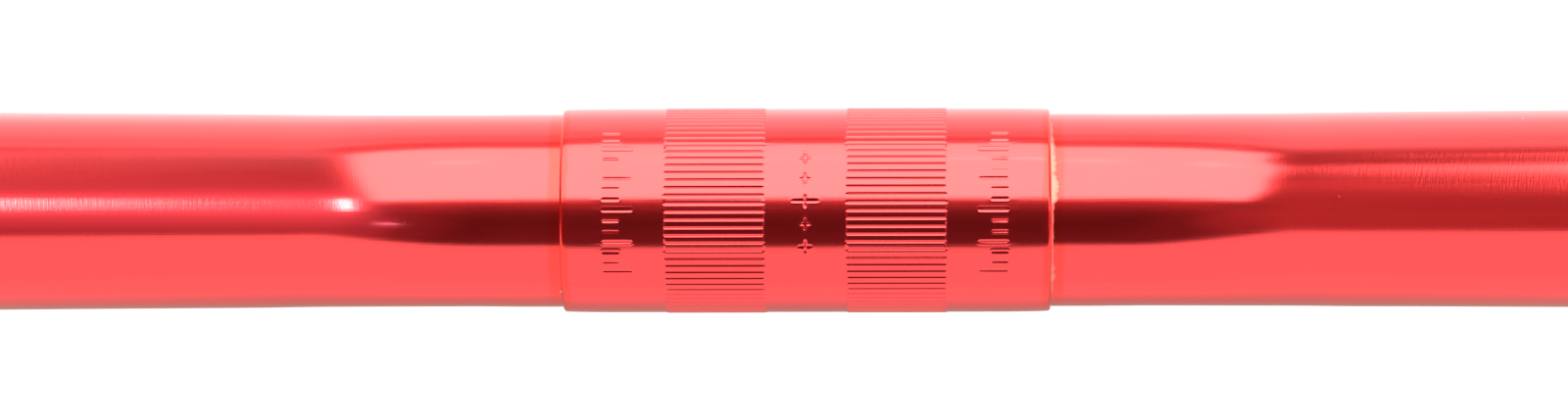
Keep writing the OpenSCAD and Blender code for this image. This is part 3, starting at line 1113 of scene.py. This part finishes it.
    def floor_material(self) -> bpy.types.Material:
        """Return the table: white to the camera, and still holding the bar's shadow; in the metal it also shows a
        painted shadow and painted pools of light.
        """
        material, graph = new_material("white_table")
        at = graph.add("ShaderNodeTexCoord").outputs["Object"]
        path = graph.add("ShaderNodeLightPath").outputs
        mirrored = graph.math("MAXIMUM", path["Is Glossy Ray"], path["Is Transmission Ray"])
        x, y, _ = graph.split(at)
        # Painted shadow: a grey strip on the table just to the -Y side of the bar, seen only in mirrored rays;
        # elsewhere the colour stays white.
        painted_shade = graph.math("MULTIPLY", graph.ramp(y, -0.26, -0.02), graph.ramp(y, -0.02, 0.02, 1.0, 0.0))
        white = graph.mix(graph.math("MULTIPLY", painted_shade, mirrored), (1, 1, 1, 1), rgba(self.painted_shade_colour))
        grain = graph.math("MULTIPLY_ADD", graph.noise(at, 90.0, 3.0), 0.02, 0.86)
        grey = graph.mix(1.0, graph.join(grain, grain, grain), white, "MULTIPLY")
        paper = graph.add("ShaderNodeBsdfDiffuse", {"Color": grey})
        # Painted light: brighter pools on the table on the +Y side near the bar, far out on the -Y side, and off to
        # both ends, which only mirrored rays see.
        painted_light_level = graph.math("MULTIPLY", graph.ramp(y, 0.02, 0.13), graph.ramp(y, 0.2, 0.9, self.painted_light_pool, 0.0))
        painted_light_level = graph.math("ADD", painted_light_level, graph.ramp(y, -0.15, -0.60, 0.0, self.far_painted_light))
        aside = graph.math("MULTIPLY", graph.ramp(graph.math("ABSOLUTE", x), 0.08, 0.35), graph.ramp(y, 0.15, 0.5))
        painted_light_level = graph.math("MULTIPLY_ADD", aside, self.side_painted_light, painted_light_level)
        painted_light_level = graph.math("MULTIPLY", painted_light_level, mirrored)
        glow = graph.add("ShaderNodeEmission", {"Color": white, "Strength": graph.math("ADD", painted_light_level, self.white)})
        seen = graph.math("MAXIMUM", path["Is Camera Ray"], mirrored)
        share = graph.math("MULTIPLY", seen, self.floor_share)
        mixed = graph.add("ShaderNodeMixShader", {0: share, 1: paper.outputs[0], 2: glow.outputs[0]})
        graph.output(mixed.outputs[0])
        return material

    def floor(self) -> bpy.types.Object:
        """Return the table top."""
        half = self.floor_size / 2
        mesh = bpy.data.meshes.new("table")
        corners = [(-half, -half), (half, -half), (half, half), (-half, half)]
        mesh.from_pydata([(x, y, self.floor_height) for x, y in corners], [], [(0, 1, 2, 3)])
        mesh.materials.append(self.floor_material())
        floor = new_object("table", mesh)
        return floor

    def lamps(self) -> list[SoftLamp]:
        """Return the small bright lamp and a faint strip."""
        return [
            SoftLamp("small_lamp", (0.694, 0.124, 0.710), 3.85, 0.23, 0.84, 24.0),
            SoftLamp("faint_lamp", (0.490, -0.262, 0.831), 3.0, 0.34, 0.032, 16.0, (0.45, 0.80, 1.25)),
        ]

    def build(self) -> None:
        """Build the world, the tent, the floor and the lamps."""
        scene = bpy.context.scene
        world = bpy.data.worlds.new("studio")
        world.use_nodes = True
        graph = NodeGraph(world.node_tree)
        sky = graph.add("ShaderNodeBackground", {"Color": (1, 1, 1, 1), "Strength": 1.0})
        end = graph.add("ShaderNodeOutputWorld")
        graph.feed(end.inputs["Surface"], sky.outputs[0])
        scene.world = world
        self.tent()
        self.floor()
        for lamp in self.lamps():
            lamp.build()
        scene.view_settings.view_transform = "Standard"
        LOG.info("studio: tent, table and %d lamps", len(self.lamps()))


@dataclass
class PhotoCamera:
    """The camera over the clamp, looking down along the bar's rise. Metres and degrees."""

    distance: float = 0.92
    pixels_per_mm: float = 8.179
    image_width: int = 1600
    aim: tuple[float, float, float] = (-2.87 * MM, 0.049 * MM, 0.0)
    sideways: float = 0.0226
    forward: float = -0.0025
    roll: float = 0.10
    sensor: float = 36.0

    def build(self) -> bpy.types.Object:
        """Return the camera, set as the scene's own."""
        data = bpy.data.cameras.new("camera")
        data.sensor_width = self.sensor
        seen = self.image_width / self.pixels_per_mm * MM
        data.lens = self.sensor * self.distance / seen
        data.clip_start = 0.05
        data.clip_end = 100.0
        camera = new_object("camera", data)
        aim = Vector(self.aim)
        place = aim + Vector((self.sideways * self.distance, self.forward, self.distance))
        back = (place - aim).normalized()
        right = Vector((0, 1, 0)).cross(back).normalized()
        up = back.cross(right)
        turn = Matrix((right, up, back)).transposed().to_4x4()
        roll = Matrix.Rotation(math.radians(-self.roll), 4, "Z")
        camera.matrix_world = Matrix.Translation(place) @ turn @ roll
        bpy.context.scene.camera = camera
        return camera


def seat(piece: bpy.types.Object, node: Node) -> None:
    """Put a finished piece on the bar's one body, in place of its CAD node."""
    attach(piece, "root")
    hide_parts(node.value)
    low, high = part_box(node.value)
    LOG.info("%s stands for %s, %.1f mm wide", piece.name, node.value, (high - low).x / MM)


def main() -> None:
    """Build the bar and its studio."""
    logging.basicConfig(level=logging.INFO, format="%(name)s: %(message)s")
    tube_finish = AnodisedFinish("red_anodised_tube", drawn=True)
    sleeve_finish = AnodisedFinish("red_anodised_sleeve", drawn=False, seed=8.0)
    seat(HandlebarTube(BarRoute()).build(tube_finish), Node.TUBE)
    seat(ClampSleeve().build(sleeve_finish), Node.SLEEVE)
    seat(BondLine().build(AdhesiveFinish("cream_adhesive")), Node.BEAD)
    Studio().build()
    PhotoCamera().build()


if __name__ == "__main__":
    main()
